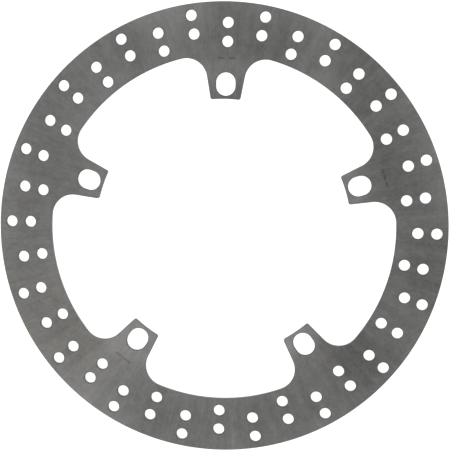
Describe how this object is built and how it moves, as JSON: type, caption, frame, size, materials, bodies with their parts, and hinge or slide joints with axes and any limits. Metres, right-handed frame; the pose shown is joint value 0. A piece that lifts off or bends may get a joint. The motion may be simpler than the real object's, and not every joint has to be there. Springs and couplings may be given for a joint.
{
  "type": "brake disc rotor",
  "caption": "Flat one-piece motorcycle brake disc with a drilled friction band and slotted lugs that reach inward to the wheel bolts.",
  "frame": {"origin": "on the disc's axis, in the plane of the hub-side face that lies against the wheel", "axes": "+Z along the disc's axis, out of the pad face that points away from the wheel; +Y along the centreline of one lug"},
  "size_m": [0.32, 0.32, 0.005],
  "materials": {
    "ground_steel": "surface-ground stainless steel, fine grinding streaks, satin"
  },
  "bodies": {
    "root": {"brake_disc": "ground_steel"}
  },
  "joints": []
}
